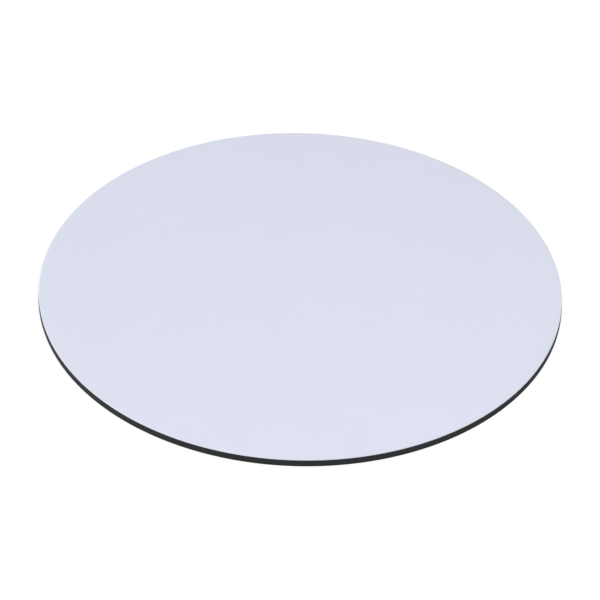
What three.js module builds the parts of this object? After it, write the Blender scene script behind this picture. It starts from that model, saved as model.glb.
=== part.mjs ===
// Round mouse pad: a sheet of cloth bonded by a hot-melt film to a foam rubber base.
// The three layers are cut round together, in one stroke of a die.
// Units are millimetres, +Z is up, and the origin is the middle of the underside, on the desk.
import * as THREE from "three";

// Driving dimensions
const PAD_DIAMETER = 240; // across the underside
const RUBBER_THICKNESS = 3;
const FILM_THICKNESS = 0.125;
const CLOTH_THICKNESS = 0.375;
const CUT_LEAN = 0.3; // how far the foam's cut side comes out on its way down from the film
const CUT_HOLLOW = 0.05; // the squeezed foam springs back, which leaves its cut side this hollow
const CLOTH_EDGE_RADIUS = 0.25; // the die rolls the cloth's upper edge over as it enters
const RUBBER_EDGE_RADIUS = 0.1; // the foam's lower edge, where the die leaves it

// How finely round shapes are divided
const FACET_LENGTH = 4.2; // the longest flat in the pad's round outline
const STEPS_ALONG_A_CURVE = 3;

// Worked out from the driving dimensions
const BASE_RADIUS = PAD_DIAMETER / 2;
const TOP_RADIUS = BASE_RADIUS - CUT_LEAN; // the cloth and the film, cut by the die before the foam gives
const STEPS_ROUND_THE_PAD = Math.ceil((Math.PI * PAD_DIAMETER) / FACET_LENGTH);
const FILM_BOTTOM = RUBBER_THICKNESS;
const CLOTH_BOTTOM = FILM_BOTTOM + FILM_THICKNESS;

// A solid of revolution about +Z. The section's x is the radius and its y is the height,
// and it runs from the axis, out along the bottom, up the edge and back along the top.
function turned(section) {
  const points = section.getPoints(STEPS_ALONG_A_CURVE);
  return new THREE.LatheGeometry(points, STEPS_ROUND_THE_PAD).rotateX(Math.PI / 2);
}

// The foam's section: a rounded lower edge, then a leaning, hollow cut side up to the film.
function rubberSection() {
  const edge = Math.min(RUBBER_EDGE_RADIUS, RUBBER_THICKNESS / 2);
  const middleRadius = (BASE_RADIUS + TOP_RADIUS) / 2;
  const middleHeight = (edge + RUBBER_THICKNESS) / 2;
  const pull = 2 * CUT_HOLLOW; // a quadratic curve reaches half way to its control point
  return new THREE.Path()
    .moveTo(0, 0)
    .lineTo(BASE_RADIUS - edge, 0)
    .absarc(BASE_RADIUS - edge, edge, edge, -Math.PI / 2, 0, false)
    .quadraticCurveTo(middleRadius - pull, middleHeight, TOP_RADIUS, RUBBER_THICKNESS)
    .lineTo(0, RUBBER_THICKNESS);
}

// The film's section: a plain thin layer, cut flush with the cloth.
function filmSection() {
  return new THREE.Path()
    .moveTo(0, 0)
    .lineTo(TOP_RADIUS, 0)
    .lineTo(TOP_RADIUS, FILM_THICKNESS)
    .lineTo(0, FILM_THICKNESS);
}

// The cloth's section: a square lower edge on the film and a rolled upper one.
function clothSection() {
  const edge = Math.min(CLOTH_EDGE_RADIUS, CLOTH_THICKNESS);
  return new THREE.Path()
    .moveTo(0, 0)
    .lineTo(TOP_RADIUS, 0)
    .lineTo(TOP_RADIUS, CLOTH_THICKNESS - edge)
    .absarc(TOP_RADIUS - edge, CLOTH_THICKNESS - edge, edge, 0, Math.PI / 2, false)
    .lineTo(0, CLOTH_THICKNESS);
}

const cloth = new THREE.MeshStandardMaterial({ color: 0xdcdfee, roughness: 0.9, metalness: 0 });
const film = new THREE.MeshStandardMaterial({ color: 0x3c3d3f, roughness: 0.45, metalness: 0 });
const foamRubber = new THREE.MeshStandardMaterial({ color: 0x323437, roughness: 0.85, metalness: 0 });

// One named layer of the pad, standing on the height where the layer below it ends.
function layer(name, section, material, bottom) {
  const mesh = new THREE.Mesh(turned(section), material);
  mesh.name = name;
  mesh.position.z = bottom;
  return mesh;
}

const mousePad = new THREE.Group();
mousePad.name = "mouse_pad";
mousePad.add(layer("rubber_base", rubberSection(), foamRubber, 0));
mousePad.add(layer("adhesive_film", filmSection(), film, FILM_BOTTOM));
mousePad.add(layer("fabric_cover", clothSection(), cloth, CLOTH_BOTTOM));

export default mousePad;
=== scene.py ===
"""Looks of a round mouse pad: pale woven cloth, a hidden bonding film and a charcoal foam rubber base."""
import math

import bpy
import numpy as np
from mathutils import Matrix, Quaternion, Vector


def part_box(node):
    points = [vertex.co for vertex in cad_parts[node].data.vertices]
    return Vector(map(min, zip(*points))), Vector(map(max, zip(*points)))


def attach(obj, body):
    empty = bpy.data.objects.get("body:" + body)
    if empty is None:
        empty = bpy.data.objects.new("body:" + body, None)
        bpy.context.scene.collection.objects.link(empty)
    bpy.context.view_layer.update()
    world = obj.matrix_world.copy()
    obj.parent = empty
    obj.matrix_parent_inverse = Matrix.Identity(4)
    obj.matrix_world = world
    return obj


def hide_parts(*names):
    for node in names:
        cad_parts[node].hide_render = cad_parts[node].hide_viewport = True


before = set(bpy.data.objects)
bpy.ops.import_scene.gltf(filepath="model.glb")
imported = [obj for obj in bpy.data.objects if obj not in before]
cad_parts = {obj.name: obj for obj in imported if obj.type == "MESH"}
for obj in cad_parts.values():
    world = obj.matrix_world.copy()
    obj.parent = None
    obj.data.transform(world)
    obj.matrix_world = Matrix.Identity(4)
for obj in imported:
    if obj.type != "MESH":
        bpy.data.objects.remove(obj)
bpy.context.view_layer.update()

MM = 0.001  # metres

# The layers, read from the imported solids
BASE_RADIUS, BASE_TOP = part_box("rubber_base")[1].xz
CLOTH_RADIUS, CLOTH_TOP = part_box("fabric_cover")[1].xz
CLOTH_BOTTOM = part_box("fabric_cover")[0].z

# The die cut
CLOTH_ROLL = 0.25 * MM  # radius of the cloth's upper edge
CLOTH_FLAT = CLOTH_RADIUS - CLOTH_ROLL  # radius of the face inside that edge
CLOTH_PRESS = 0.06 * MM  # how far the die leaves the cloth's border pressed down
CLOTH_PRESS_WIDTH = 1.2 * MM
BASE_ROUND = 0.1 * MM  # radius of the foam's lower edge
BASE_FLAT = BASE_RADIUS - BASE_ROUND  # radius of the face inside that edge
CUT_LEAN = BASE_RADIUS - CLOTH_RADIUS  # the cut comes out by this much on its way down
CUT_HOLLOW = 0.05 * MM  # how far the foam's cut side draws in at half height
CUT_WAVER = 0.02 * MM  # unevenness along the cut
CUT_WAVER_LENGTH = 6 * MM

# The grip relief under the base: a diamond net of ribs with square hollows between them
GRIP_PITCH = 4.0 * MM
GRIP_RIB = 0.8 * MM
GRIP_SLOPE = 0.4 * MM
GRIP_DEPTH = 0.3 * MM
GRIP_BORDER = 1.6 * MM  # near the edge the hollows fade out over this width
GRIP_BORDER_FLAT = 0.6 * MM  # and this much is left quite flat
RIM_CATCH = 0.3 * MM  # grid points this close to the flat's edge are moved onto it

# The cloth
YARN_SPACING = 0.5 * MM
YARN_RISE = 0.08 * MM  # from the deepest place between the yarns to the highest on one
YARN_WAVE = 0.35  # the share of that by which a yarn goes over and under, the rest being its rounding
YARN_ROUNDING = 0.6  # the power that makes a sine as full as a yarn
YARN_EVEN_LENGTH = 17 * MM  # how far a yarn keeps its tone
FIBRE_SIZE = 0.11 * MM
CLOTH_BLOTCH = 36 * MM
CLOTH_EASE = 0.03 * MM  # how far the cloth dips between its high spots
CLOTH_EASE_LENGTH = 35 * MM

# Cut ends of fibres along the cloth's edge. Pairs are ranges, or a mean and a spread in fibre lengths
FIBRE_ENDS = 900
FIBRE_LENGTHS = (0.12 * MM, 0.42 * MM)
FIBRE_RADII = (0.012 * MM, 0.022 * MM)
FIBRE_STARTS = (0.06 * MM, 0.2 * MM)  # heights above the cloth's underside
FIBRE_ROOT = 0.04 * MM  # how far inside the cut a fibre begins
FIBRE_TAPER = 0.6  # the share of its radius that a fibre loses towards its tip
FIBRE_LEAN = (0.0, 0.7)  # mean and spread of how far it heads sideways
FIBRE_CURL = (0.0, 0.6)  # of how far it then bends sideways
FIBRE_CLIMB = (0.1, 0.4)  # of how far it heads upwards
FIBRE_DROOP = (-0.3, 0.6)  # of how far it then bends upwards, mostly down

# The foam and the film
FOAM_CELL = 0.18 * MM
FOAM_CELL_WALL = (0.15, 0.6)  # distances from a cell's middle, in cells, where its wall begins and is full
FOAM_PORE = 0.55 * MM
FOAM_PORE_WALL = (0.1, 0.3)
FOAM_CELL_DEPTH = 0.06 * MM
FOAM_SKIN_GRAIN = 0.2 * MM
FOAM_BLOTCH = 17 * MM
FOAM_OPEN_BORDER = (0.45 * MM, 0.3 * MM)  # how far inside the edge its skin ends and its open cells begin
DUST_SPECK = 0.4 * MM
DUST_LOWEST = 0.05 * MM  # no dust lies on what is nearer the desk than this
FILM_CLOUD = 1.4 * MM
FILM_SPECK = 0.17 * MM
FILM_SPECK_DEPTH = 0.02 * MM

# How finely the pieces are divided
CLOTH_COLUMNS = 480
CLOTH_RINGS = 44
CLOTH_BORDER_ROWS = (1.5, 1.0, 0.5, 0.0)  # distances from the rolled edge, in widths of the press
CLOTH_UNDER_ROWS = (1.0, 0.98, 0.6, 0.25)  # shares of the cloth's radius
ROLL_STEPS = 6
CORNER_STEPS = 5
CUT_STEPS = 8
FIBRE_RINGS = 4
FIBRE_SIDES = 3
RIPPLE_WAVES = 9
RIPPLE_RATES = (0.7, 1.4)  # how much slower and faster than asked the waves of a ripple are
SHARP_ANGLE = math.radians(50)  # faces that meet more steeply than this have a sharp edge between them

# Maps for baking: a quarter of a millimetre to a pixel when the map has 1024 a side
MAP_WIDTH = 0.256
MAP_MIDDLE = 0.5
MAP_EDGE = 6.0 * MM  # a piece's narrow edge is widened to this on the map
MAP_CORNER = 0.085  # middle of the small disc in the map's corner, for a face that is never seen
MAP_CORNER_SCALE = 0.16

# Finishes
NOISE_RANGE = (0.3, 0.7)  # where soft noise mostly lies
CLOTH_FINISH = {"Specular IOR Level": 0.2, "Sheen Weight": 0.08, "Sheen Roughness": 0.5}
# the deep colour is both the cloth's darker yarns and a painted shade between the yarns
CLOTH_DEEP = (0.7, 0.722, 0.842, 1.0)
CLOTH_PALE = (0.75, 0.773, 0.899, 1.0)
CLOTH_TONES = (0.34, 1.04)  # the tones that are quite deep and quite pale
CLOTH_ROUGHNESS = (0.97, 0.86)  # of the deep and the pale places
CLOTH_RELIEF = 0.5  # how strongly its bumps show
FOAM_FINISH = {"Specular IOR Level": 0.15}
FOAM_CHARCOAL = (0.0285, 0.0295, 0.0315, 1.0)
FOAM_FADED = (0.05, 0.052, 0.055, 1.0)
# the dark of a painted shade in the middles of open cells, and of darker spots in the skin's grain
FOAM_PIT_SHADE = (0.012, 0.012, 0.013, 1.0)
FOAM_DUST = (0.14, 0.138, 0.13, 1.0)
FOAM_FADING = 0.25  # the most that a blotch is faded
FOAM_PIT_SHADING = 0.55  # how far the middle of a cell is darkened, a painted shade in the open cell
FOAM_DUSTING = 0.35  # the most that a hollow is dusted
FOAM_DUST_NOISE = (0.45, 0.75)  # where in the noise dust begins and is thickest
FOAM_ROUGHNESS = (0.95, 0.78)  # of the middle of a cell and of its wall
FOAM_RELIEF = 0.6
FILM_FINISH = {"Specular IOR Level": 0.3}
FILM_DARK = (0.026, 0.028, 0.032, 1.0)
FILM_CLOUDY = (0.045, 0.048, 0.055, 1.0)
FILM_ROUGHNESS = (0.4, 0.6)
FILM_RELIEF = 0.3

# Studio
WHITE = (1.0, 1.0, 1.0, 1.0)
FLOOR_HALF = 0.45  # half the floor's width
FLOOR_DROP = 0.05 * MM  # how far the floor lies below the pad
FLOOR_PALE = (0.8, 0.8, 0.8, 1.0)  # the floor as the pad's surroundings
FLOOR_LIT = (0.25, 0.25, 0.25, 1.0)  # to the eye, its lit share
FLOOR_GLOW = 0.8  # and its share that is aglow
SKY = 0.532  # strength of the even light from all round
MAIN_LAMP = {"place": (0.13, -0.47, 1.01), "size": 0.9, "watts": 5.8}
SIDE_LAMP = {"place": (-2.42, 0.43, 0.43), "size": 0.8, "watts": 30.0}

# Camera, set to the photograph's view
PICTURE_WIDTH = 600  # pixels
FOCAL_LENGTH = 1952.0  # pixels
SENSOR_WIDTH = 36.0  # what Blender calls a full frame, in its own millimetres
CAMERA_DISTANCE = 0.898
CAMERA_RISE = math.radians(38.42)
CAMERA_ROLL = math.radians(1.505)
CAMERA_AIM = (-0.06 * MM, -14.6 * MM, CLOTH_BOTTOM)
CAMERA_NEAR, CAMERA_FAR = 0.05, 20.0

rng = np.random.default_rng(7)


# Mesh helpers

def mesh_piece(name, points, faces, material, face_uv=()):
    """A smooth mesh object with sharp edges where its faces meet steeply. points is (n, 3), faces is a list
    of (m, corners) arrays of point numbers, and face_uv has an (m, corners, 2) array of map places for
    each."""
    mesh = bpy.data.meshes.new(name)
    mesh.vertices.add(len(points))
    mesh.vertices.foreach_set("co", np.ascontiguousarray(points, np.float32).ravel())
    corners = np.concatenate([f.ravel() for f in faces])
    sizes = np.concatenate([np.full(len(f), f.shape[1]) for f in faces])
    mesh.loops.add(len(corners))
    mesh.loops.foreach_set("vertex_index", corners.astype(np.int32))
    mesh.polygons.add(len(sizes))
    mesh.polygons.foreach_set("loop_start", (np.cumsum(sizes) - sizes).astype(np.int32))
    if face_uv:
        places = np.concatenate([uv.reshape(-1, 2) for uv in face_uv])
        mesh.uv_layers.new(name="OFBake").uv.foreach_set("vector", places.astype(np.float32).ravel())
    mesh.update(calc_edges=True)
    mesh.validate()
    mesh.polygons.foreach_set("use_smooth", np.ones(len(sizes), bool))
    mesh.set_sharp_from_angle(angle=SHARP_ANGLE)
    mesh.materials.append(material)
    piece = bpy.data.objects.new(name, mesh)
    bpy.context.scene.collection.objects.link(piece)
    return piece


def ring_quads(rows, columns):
    """Quads of a grid of rows by columns, numbered row by row and closed round the columns. Each runs one
    row on, then one column on, so it faces along row direction cross column direction."""
    i, j = np.meshgrid(np.arange(rows - 1), np.arange(columns), indexing="ij")
    here, beside = i * columns + j, i * columns + (j + 1) % columns
    return np.stack([here, here + columns, beside + columns, beside], -1).reshape(-1, 4)


def fan(middle, ring):
    """Triangles from the point numbered middle to each pair of neighbours on a closed ring."""
    return np.stack([np.full(len(ring), middle), ring, np.roll(ring, -1)], -1)


def directions(angle):
    """Unit vectors at these angles in the level plane."""
    return np.stack([np.cos(angle), np.sin(angle)], -1)


def ripple(level, wavelength):
    """Smooth unevenness from 0 to about 1 at level places (..., 2): the mean of sine waves of near the given
    wavelength, each with its own direction and start."""
    heading = directions(rng.uniform(0, math.tau, RIPPLE_WAVES))
    start = rng.uniform(0, math.tau, RIPPLE_WAVES)
    rate = math.tau / wavelength * rng.uniform(*RIPPLE_RATES, RIPPLE_WAVES)
    return 0.5 + 0.5 * np.sin(level @ heading.T * rate + start).mean(-1)


# Map helpers

def to_scale(level):
    """Places on the map, to scale about its middle, for level places (..., 2) on the pad."""
    return MAP_MIDDLE + level / MAP_WIDTH


def in_corner(level):
    """Places on the map, in the small disc in its corner, for level places on a face that is never seen."""
    return MAP_CORNER + MAP_CORNER_SCALE * level / MAP_WIDTH


def rolled_out(radius, height):
    """Radii on the map for the rows of a narrow edge. Its section, given row by row, is laid out flat from
    its first radius, in proportion to the distance along it, and widened to MAP_EDGE."""
    along = np.cumsum(np.hypot(np.diff(radius), np.diff(height)))
    return radius[0] + MAP_EDGE * np.append(0.0, along / along[-1])


# Material helpers

def node(tree, kind, inputs=None, **settings):
    """Adds one node. Inputs are given by socket name or number, as a value or another node's socket."""
    made = tree.nodes.new(kind)
    for name, value in settings.items():
        setattr(made, name, value)
    for key, value in (inputs or {}).items():
        if isinstance(value, bpy.types.NodeSocket):
            tree.links.new(value, made.inputs[key])
        else:
            made.inputs[key].default_value = value
    return made


def maths(tree, operation, *values):
    """The result of one Math node on one, two or three values."""
    return node(tree, "ShaderNodeMath", dict(enumerate(values)), operation=operation).outputs[0]


def weighed(tree, *parts):
    """The sum of (value, weight) pairs."""
    total = 0.0
    for value, weight in parts:
        total = maths(tree, "MULTIPLY_ADD", value, weight, total)
    return total


def ranged(tree, value, low, high, to_low=0.0, to_high=1.0):
    """The value carried from one range to another, held at the ends."""
    ends = {"From Min": low, "From Max": high, "To Min": to_low, "To Max": to_high}
    return node(tree, "ShaderNodeMapRange", {"Value": value, **ends}).outputs[0]


def blend(tree, share, a, b):
    """A number between a and b."""
    return node(tree, "ShaderNodeMix", {0: share, 2: a, 3: b}, data_type="FLOAT").outputs[0]


def tint(tree, share, a, b):
    """A colour between a and b."""
    return node(tree, "ShaderNodeMix", {0: share, 6: a, 7: b}, data_type="RGBA").outputs[2]


def mottle(tree, place, size, detail=2.0, roughness=0.5):
    """Soft noise, mostly within NOISE_RANGE, in spots of about the given size."""
    inputs = {"Vector": place, "Scale": 1 / size, "Detail": detail, "Roughness": roughness}
    return node(tree, "ShaderNodeTexNoise", inputs).outputs["Fac"]


def streaks(tree, place, width, length):
    """Soft noise in spots of the given width along X and the given length along Y."""
    drawn = node(tree, "ShaderNodeMapping", {"Vector": place, "Scale": (1 / width, 1 / length, 1.0)})
    return mottle(tree, drawn.outputs[0], size=1.0, detail=1.0)


def cells(tree, place, size):
    """Distance from the middle of the nearest of many random cells, in cell sizes."""
    return node(tree, "ShaderNodeTexVoronoi", {"Vector": place, "Scale": 1 / size}).outputs["Distance"]


def new_material(name, finish):
    """A material with one Principled shader, whose even values are set on the shader itself. Also gives its
    node tree and the place on the object, in metres."""
    made = bpy.data.materials.new(name)
    made.use_nodes = True
    tree = made.node_tree
    shader = tree.nodes["Principled BSDF"]
    for socket, value in finish.items():
        shader.inputs[socket].default_value = value
    place = node(tree, "ShaderNodeTexCoord").outputs["Object"]
    return made, tree, place


def dress(tree, colour, roughness, height, depth, strength):
    """Gives the shader its colour, its roughness and a bump of the given depth."""
    shader = tree.nodes["Principled BSDF"]
    bump = node(tree, "ShaderNodeBump", {"Strength": strength, "Distance": depth, "Height": height})
    tree.links.new(colour, shader.inputs["Base Color"])
    tree.links.new(roughness, shader.inputs["Roughness"])
    tree.links.new(bump.outputs[0], shader.inputs["Normal"])


# Materials

def yarn_height(tree, across, along, wave):
    """Height of one family of yarns, from the sines across and along them: a power of the first one's size
    for the yarn's rounding, plus wave times the second, turned over where the first is negative."""
    rounding = maths(tree, "POWER", maths(tree, "ABSOLUTE", across), YARN_ROUNDING)
    rising = maths(tree, "MULTIPLY", maths(tree, "SIGN", across), along)
    return weighed(tree, (rounding, 1 - YARN_WAVE), (rising, wave))


def cloth_material():
    """Plain weave. Along each axis a sine has a half wave to every yarn, so its size follows the yarn's
    rounding and its sign changes from yarn to yarn. The lengthwise yarns go over the crosswise ones where
    the two signs agree, and under them elsewhere. The higher of the two shows. The tone is deeper where the
    weave is low, a painted shade between the yarns, and also follows single yarns, fibres and soft blotches."""
    made, tree, place = new_material("pale_cloth", CLOTH_FINISH)
    apart = node(tree, "ShaderNodeSeparateXYZ", {0: place}).outputs
    turns = [maths(tree, "MULTIPLY", apart[k], math.pi / YARN_SPACING) for k in (0, 1)]
    across, along = (maths(tree, "SINE", turn) for turn in turns)
    warp = yarn_height(tree, across, along, YARN_WAVE)
    weft = yarn_height(tree, along, across, -YARN_WAVE)
    bead = maths(tree, "MAXIMUM", warp, weft)

    warp_tone = streaks(tree, place, width=YARN_SPACING, length=YARN_EVEN_LENGTH)
    weft_tone = streaks(tree, place, width=YARN_EVEN_LENGTH, length=YARN_SPACING)
    fibres = mottle(tree, place, FIBRE_SIZE, roughness=0.6)
    blotch = mottle(tree, place, CLOTH_BLOTCH, detail=3.0, roughness=0.55)
    # The bead's share darkens the low places of the weave, a painted shade; the rest is the cloth's own tone
    weave_shade_and_tone = weighed(tree, (bead, 0.5), (warp_tone, 0.18), (weft_tone, 0.18), (fibres, 0.12), (blotch, 0.3))
    dress(
        tree,
        colour=tint(tree, ranged(tree, weave_shade_and_tone, *CLOTH_TONES), CLOTH_DEEP, CLOTH_PALE),
        roughness=ranged(tree, weave_shade_and_tone, *CLOTH_TONES, *CLOTH_ROUGHNESS),
        height=weighed(tree, (bead, 1.0), (fibres, 0.25)),
        depth=YARN_RISE,
        strength=CLOTH_RELIEF,
    )
    return made


def foam_material():
    """Charcoal foam rubber. Its cut side, past a radius just inside the edge, is open: fine cells and fewer
    large pores, darkened in their middles by painted shade. On the moulded underside a skin closes them,
    darker by its grain, and a little pale dust lies in the hollows of the relief, by their height. Broad
    blotches are faded."""
    made, tree, place = new_material("charcoal_foam_rubber", FOAM_FINISH)
    height = node(tree, "ShaderNodeSeparateXYZ", {0: place}).outputs[2]
    level = node(tree, "ShaderNodeMapping", {"Vector": place, "Scale": (1.0, 1.0, 0.0)}).outputs[0]
    reach = node(tree, "ShaderNodeVectorMath", {0: level}, operation="LENGTH").outputs["Value"]
    cut_side = ranged(tree, reach, *(BASE_RADIUS - border for border in FOAM_OPEN_BORDER))

    fine = ranged(tree, cells(tree, place, FOAM_CELL), *FOAM_CELL_WALL)
    pores = ranged(tree, cells(tree, place, FOAM_PORE), *FOAM_PORE_WALL)
    skin = mottle(tree, place, FOAM_SKIN_GRAIN, detail=3.0, roughness=0.6)
    grain = blend(tree, cut_side, skin, maths(tree, "MULTIPLY", fine, pores))

    blotch = mottle(tree, place, FOAM_BLOTCH, detail=3.0)
    fading = ranged(tree, blotch, *NOISE_RANGE, 0.0, FOAM_FADING)
    # Darker in the middle of each open cell, a painted shade; on the skin, darker by its own grain
    pit_shade_and_grain = ranged(tree, grain, 0.0, 1.0, FOAM_PIT_SHADING, 0.0)
    moulded = maths(tree, "SUBTRACT", 1.0, cut_side)
    in_hollow = maths(tree, "MULTIPLY", moulded, ranged(tree, height, DUST_LOWEST, GRIP_DEPTH))
    specks = mottle(tree, place, DUST_SPECK, detail=4.0, roughness=0.65)
    dusting = ranged(tree, specks, *FOAM_DUST_NOISE, 0.0, FOAM_DUSTING)
    rubber = tint(tree, fading, FOAM_CHARCOAL, FOAM_FADED)
    rubber = tint(tree, pit_shade_and_grain, rubber, FOAM_PIT_SHADE)
    rubber = tint(tree, maths(tree, "MULTIPLY", in_hollow, dusting), rubber, FOAM_DUST)
    dress(
        tree,
        colour=rubber,
        roughness=ranged(tree, grain, 0.0, 1.0, *FOAM_ROUGHNESS),
        height=grain,
        depth=FOAM_CELL_DEPTH,
        strength=FOAM_RELIEF,
    )
    return made


def film_material():
    """Thin dark film, a little shiny, cloudy where the foam under it shows through."""
    made, tree, place = new_material("bonding_film", FILM_FINISH)
    cloud = mottle(tree, place, FILM_CLOUD, detail=3.0)
    speck = mottle(tree, place, FILM_SPECK)
    dress(
        tree,
        colour=tint(tree, ranged(tree, cloud, *NOISE_RANGE), FILM_DARK, FILM_CLOUDY),
        roughness=ranged(tree, speck, *NOISE_RANGE, *FILM_ROUGHNESS),
        height=speck,
        depth=FILM_SPECK_DEPTH,
        strength=FILM_RELIEF,
    )
    return made


# Cloth pieces

def cloth_sheet(material):
    """The cloth: a section turned about the pad's axis. It runs out along the top, over the rolled edge,
    down the cut and back underneath. The top dips towards the border by a press that falls off
    exponentially inwards, and inside that by a gentle ripple."""
    turn = np.linspace(0, math.pi / 2, ROLL_STEPS + 1)[1:]
    inner = np.linspace(0, CLOTH_FLAT - 2 * CLOTH_PRESS_WIDTH, CLOTH_RINGS + 1)[1:]
    border = CLOTH_FLAT - CLOTH_PRESS_WIDTH * np.array(CLOTH_BORDER_ROWS)
    rolled = CLOTH_FLAT + CLOTH_ROLL * np.sin(turn)
    under = CLOTH_RADIUS * np.array(CLOTH_UNDER_ROWS)
    radius = np.concatenate([inner, border, rolled, under])
    flat_rows = len(inner) + len(border)
    upper_rows = flat_rows + len(rolled)
    section = np.full(len(radius), CLOTH_BOTTOM)
    section[:flat_rows] = CLOTH_TOP
    section[flat_rows:upper_rows] = CLOTH_TOP - CLOTH_ROLL * (1 - np.cos(turn))

    around = directions(np.arange(CLOTH_COLUMNS) * math.tau / CLOTH_COLUMNS)
    level = radius[:, None, None] * around
    press = np.exp((radius - CLOTH_RADIUS) / CLOTH_PRESS_WIDTH)[:, None]
    dip = CLOTH_PRESS * press + CLOTH_EASE * (1 - press) * ripple(level, CLOTH_EASE_LENGTH)
    dip[upper_rows:] = 0.0
    height = section[:, None] - dip
    grid = np.concatenate([level, height[..., None]], -1).reshape(-1, 3)
    points = np.concatenate([grid, [[0, 0, CLOTH_TOP - CLOTH_EASE / 2], [0, 0, CLOTH_BOTTOM]]])
    quads = ring_quads(len(radius), CLOTH_COLUMNS)
    first_ring = np.arange(CLOTH_COLUMNS)
    last_ring = len(grid) - CLOTH_COLUMNS + first_ring
    top_fan = fan(len(grid), first_ring)
    under_fan = fan(len(grid) + 1, last_ring[::-1])

    # On the map the top lies to scale, the edge follows outside it, and the underside is a small disc
    edge = slice(flat_rows - 1, upper_rows + 1)
    spread = np.zeros(len(radius))
    spread[:flat_rows] = radius[:flat_rows]
    spread[edge] = rolled_out(radius[edge], section[edge])
    spread_level = (spread[:, None, None] * around).reshape(-1, 2)
    upper_uv = to_scale(np.concatenate([spread_level, np.zeros((2, 2))]))
    under_uv = in_corner(points[:, :2])
    on_top = (quads[:, 0] < upper_rows * CLOTH_COLUMNS)[:, None, None]
    quads_uv = np.where(on_top, upper_uv[quads], under_uv[quads])
    face_uv = [quads_uv, upper_uv[top_fan], under_uv[under_fan]]
    return mesh_piece("cloth_top", points, [quads, top_fan, under_fan], material, face_uv)


def cut_yarn_ends(material):
    """Short ends of cut fibres along the cloth's edge. Each is a tapered three-sided tube on a path that
    leaves the cut roughly outwards and bends by the square of the distance along it."""
    each = (FIBRE_ENDS, 1)
    angle = rng.uniform(0, math.tau, FIBRE_ENDS)
    outward = np.stack([np.cos(angle), np.sin(angle), 0 * angle], -1)
    sideways = np.stack([-np.sin(angle), np.cos(angle), 0 * angle], -1)
    upward = np.array([0.0, 0.0, 1.0])
    length = rng.uniform(*FIBRE_LENGTHS, each)
    thick = rng.uniform(*FIBRE_RADII, FIBRE_ENDS)
    lean = rng.normal(*FIBRE_LEAN, each)
    curl = rng.normal(*FIBRE_CURL, each)
    climb = rng.normal(*FIBRE_CLIMB, each)
    droop = rng.normal(*FIBRE_DROOP, each)
    start_height = CLOTH_BOTTOM + rng.uniform(*FIBRE_STARTS, each)

    start = outward * (CLOTH_RADIUS - FIBRE_ROOT) + start_height * upward
    heading = outward + lean * sideways + climb * upward
    bend = curl * sideways + droop * upward
    t = np.linspace(0, 1, FIBRE_RINGS)[:, None, None]
    path = start + length * (t * heading + t * t * bend)
    taper = thick * (1 - FIBRE_TAPER * t[..., 0])
    around = directions(np.arange(FIBRE_SIDES) * math.tau / FIBRE_SIDES)
    section = around[:, :1] * sideways[:, None] + around[:, 1:] * upward
    points = path[:, :, None] + taper[..., None, None] * section
    points = points.transpose(1, 0, 2, 3).reshape(-1, 3)

    quads = ring_quads(FIBRE_RINGS, FIBRE_SIDES)[:, ::-1]
    root = np.arange(FIBRE_SIDES)[::-1]
    tip = (FIBRE_RINGS - 1) * FIBRE_SIDES + np.arange(FIBRE_SIDES)
    shift = np.arange(FIBRE_ENDS)[:, None, None] * FIBRE_RINGS * FIBRE_SIDES
    faces = [(shift + quads).reshape(-1, 4), (shift + np.array([root, tip])).reshape(-1, FIBRE_SIDES)]
    return mesh_piece("cut_yarn_ends", points, faces, material)


# Foam piece

def faces_within(at_edge, lines):
    """Faces of a square grid of points, with the given number of lines each way, that lie within an edge: a
    quad where two corners or more are off the edge, and a triangle where only one is."""
    i, j = np.meshgrid(np.arange(lines - 1), np.arange(lines - 1), indexing="ij")
    corner = (i * lines + j).ravel()
    quads = np.stack([corner, corner + 1, corner + lines + 1, corner + lines], -1)
    inside = ~at_edge[quads]
    count = inside.sum(1)
    inner_corner = inside[count == 1].argmax(1)[:, None]
    triangles = np.take_along_axis(quads[count == 1], (inner_corner + [3, 0, 1]) % 4, 1)
    return [quads[count >= 2], triangles]


def grip_relief():
    """Points and faces of the foam's underside, and how many of the points, the last ones, lie round its
    edge, in order. The lines of the grid lie at the edges of the ribs and hollows, turned 45 degrees, and
    its height is the product of two steps, one for each family of ribs. Points near or past the flat's edge
    move along their radius onto that edge."""
    half_rib = GRIP_RIB / 2
    marks = np.array([-half_rib, half_rib, half_rib + GRIP_SLOPE, GRIP_PITCH - half_rib - GRIP_SLOPE])
    ribs = math.ceil(BASE_RADIUS / GRIP_PITCH) + 1
    line = (np.arange(-ribs, ribs + 1)[:, None] * GRIP_PITCH + marks).ravel()
    step = np.tile([0.0, 0.0, 1.0, 1.0], 2 * ribs + 1)
    a, b = np.meshgrid(line, line, indexing="ij")
    level = np.stack([a - b, a + b], -1) / math.sqrt(2)
    far = np.hypot(a, b)
    at_edge = far > BASE_FLAT - RIM_CATCH
    onto_edge = level * (BASE_FLAT / np.maximum(far, half_rib))[..., None]
    level = np.where(at_edge[..., None], onto_edge, level)
    fade = np.where(at_edge, 0, np.clip((BASE_FLAT - far - GRIP_BORDER_FLAT) / GRIP_BORDER, 0, 1))
    relief = GRIP_DEPTH * np.outer(step, step) * fade
    grid = np.concatenate([level, relief[..., None]], -1).reshape(-1, 3)
    at_edge = at_edge.ravel()

    # Only the points in use are kept, with those on the edge last, in order round it
    faces = faces_within(at_edge, len(line))
    used = np.unique(np.concatenate([f.ravel() for f in faces]))
    angle = np.arctan2(grid[used, 1], grid[used, 0])
    used = used[np.lexsort((angle, at_edge[used]))]
    number = np.zeros(len(grid), int)
    number[used] = np.arange(len(used))
    return grid[used], [number[f] for f in faces], at_edge[used].sum()


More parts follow.
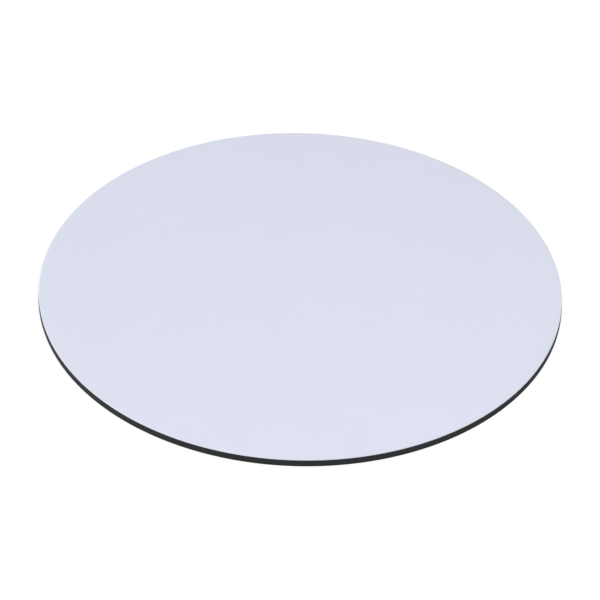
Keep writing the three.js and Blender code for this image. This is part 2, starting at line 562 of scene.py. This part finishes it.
def cut_side():
    """Radii and heights of the rows of the foam's side: a quarter circle round its lower corner, then, up to
    the film, a straight line that leans inwards, less a parabola for the hollow."""
    turn = np.linspace(0, math.pi / 2, CORNER_STEPS + 1)[1:]
    t = np.linspace(0, 1, CUT_STEPS + 1)[1:]
    drawn_in = CUT_LEAN * t + 4 * CUT_HOLLOW * t * (1 - t)
    radius = np.concatenate([BASE_FLAT + BASE_ROUND * np.sin(turn), BASE_RADIUS - drawn_in])
    height = np.concatenate([BASE_ROUND * (1 - np.cos(turn)), BASE_ROUND + (BASE_TOP - BASE_ROUND) * t])
    return radius, height


def foam_base(material):
    """The foam: the grip relief below, the cut side carried round through the points on the relief's edge,
    and a plain top. The side wavers in and out by a ripple, which dies away towards its top and bottom."""
    below, below_faces, columns = grip_relief()
    first = len(below) - columns
    around = directions(np.arctan2(below[first:, 1], below[first:, 0]))
    radius, height = cut_side()
    waver = CUT_WAVER * (ripple(BASE_RADIUS * around, CUT_WAVER_LENGTH) - 1)
    wide = radius[:, None] + np.sin(math.pi * height / BASE_TOP)[:, None] * waver
    up = np.broadcast_to(height[:, None], wide.shape)
    side = np.concatenate([wide[..., None] * around, up[..., None]], -1).reshape(-1, 3)
    points = np.concatenate([below, side, [[0, 0, BASE_TOP]]])
    wall = ring_quads(len(height) + 1, columns)[:, ::-1]
    top_middle = len(points) - 1
    top = fan(top_middle, top_middle - columns + np.arange(columns))
    faces = [*below_faces, first + wall, top]

    # On the map the underside lies to scale, the side follows outside it, and the top is a small disc
    below_uv = to_scale(below[:, :2])
    outward = rolled_out(np.append(BASE_FLAT, radius), np.append(0.0, height))
    side_uv = to_scale((outward[:, None, None] * around).reshape(-1, 2))
    top_uv = in_corner(points[:, :2])
    face_uv = [*(below_uv[f] for f in below_faces), side_uv[wall], top_uv[top]]
    return mesh_piece("foam_base", points, faces, material, face_uv)


# Surroundings

def seen(tree):
    """1 for what the camera sees, straight or in a reflection or through glass, and 0 for other light."""
    path = node(tree, "ShaderNodeLightPath").outputs
    straight_or_mirrored = maths(tree, "MAXIMUM", path["Is Camera Ray"], path["Is Glossy Ray"])
    return maths(tree, "MAXIMUM", straight_or_mirrored, path["Is Transmission Ray"])


def pale_floor():
    """A flat sheet under the pad, white to the eye, which still takes a soft shadow. To the eye it is partly
    lit and partly aglow."""
    made = bpy.data.materials.new("pale_floor")
    made.use_nodes = True
    tree = made.node_tree
    tree.nodes.clear()
    plain = node(tree, "ShaderNodeBsdfDiffuse", {"Color": FLOOR_PALE})
    shaded = node(tree, "ShaderNodeBsdfDiffuse", {"Color": FLOOR_LIT})
    glow = node(tree, "ShaderNodeEmission", {"Color": WHITE, "Strength": FLOOR_GLOW})
    white = node(tree, "ShaderNodeAddShader", {0: shaded.outputs[0], 1: glow.outputs[0]})
    either = node(tree, "ShaderNodeMixShader", {0: seen(tree), 1: plain.outputs[0], 2: white.outputs[0]})
    node(tree, "ShaderNodeOutputMaterial", {"Surface": either.outputs[0]})
    corners = FLOOR_HALF * np.array([[-1, -1], [1, -1], [1, 1], [-1, 1]])
    points = np.concatenate([corners, np.full((4, 1), -FLOOR_DROP)], 1)
    floor = mesh_piece("floor", points, [np.arange(4)[None]], made)


def studio_sky():
    """An even pale sky, white to the eye."""
    world = bpy.data.worlds.new("studio")
    world.use_nodes = True
    tree = world.node_tree
    tree.nodes.clear()
    sky = node(tree, "ShaderNodeBackground", {"Color": WHITE, "Strength": SKY})
    white = node(tree, "ShaderNodeBackground", {"Color": WHITE, "Strength": 1.0})
    either = node(tree, "ShaderNodeMixShader", {0: seen(tree), 1: sky.outputs[0], 2: white.outputs[0]})
    node(tree, "ShaderNodeOutputWorld", {"Surface": either.outputs[0]})
    bpy.context.scene.world = world


def soft_lamp(name, place, size, watts):
    """A round lamp turned to the middle of the pad."""
    light = bpy.data.lights.new(name, "AREA")
    light.shape = "DISK"
    light.size = size
    light.energy = watts
    lamp = bpy.data.objects.new(name, light)
    lamp.location = place
    lamp.rotation_euler = (-lamp.location).to_track_quat("-Z", "Y").to_euler()
    bpy.context.scene.collection.objects.link(lamp)


def camera():
    """Looks along +Y from above, aimed a little in front of the pad's middle and turned slightly about its
    own axis."""
    data = bpy.data.cameras.new("camera")
    data.sensor_width = SENSOR_WIDTH
    data.lens = SENSOR_WIDTH * FOCAL_LENGTH / PICTURE_WIDTH
    data.clip_start = CAMERA_NEAR
    data.clip_end = CAMERA_FAR
    holder = bpy.data.objects.new("camera", data)
    outward = Vector((0, -math.cos(CAMERA_RISE), math.sin(CAMERA_RISE)))
    holder.location = Vector((0, 0, CLOTH_BOTTOM)) + CAMERA_DISTANCE * outward
    holder.rotation_mode = "QUATERNION"
    facing = (Vector(CAMERA_AIM) - holder.location).to_track_quat("-Z", "Y")
    holder.rotation_quaternion = facing @ Quaternion((0, 0, 1), CAMERA_ROLL)
    bpy.context.scene.collection.objects.link(holder)
    bpy.context.scene.camera = holder


# The scene

bpy.context.scene.view_settings.view_transform = "Standard"
camera()
studio_sky()
soft_lamp("main_lamp", **MAIN_LAMP)
soft_lamp("side_lamp", **SIDE_LAMP)
pale_floor()

pale_cloth = cloth_material()
cloth = cloth_sheet(pale_cloth)
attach(cloth, "root")
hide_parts("fabric_cover")

yarn_ends = cut_yarn_ends(pale_cloth)
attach(yarn_ends, "root")

base = foam_base(foam_material())
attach(base, "root")
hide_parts("rubber_base")

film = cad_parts["adhesive_film"]
film.data.materials.clear()
film.data.materials.append(film_material())
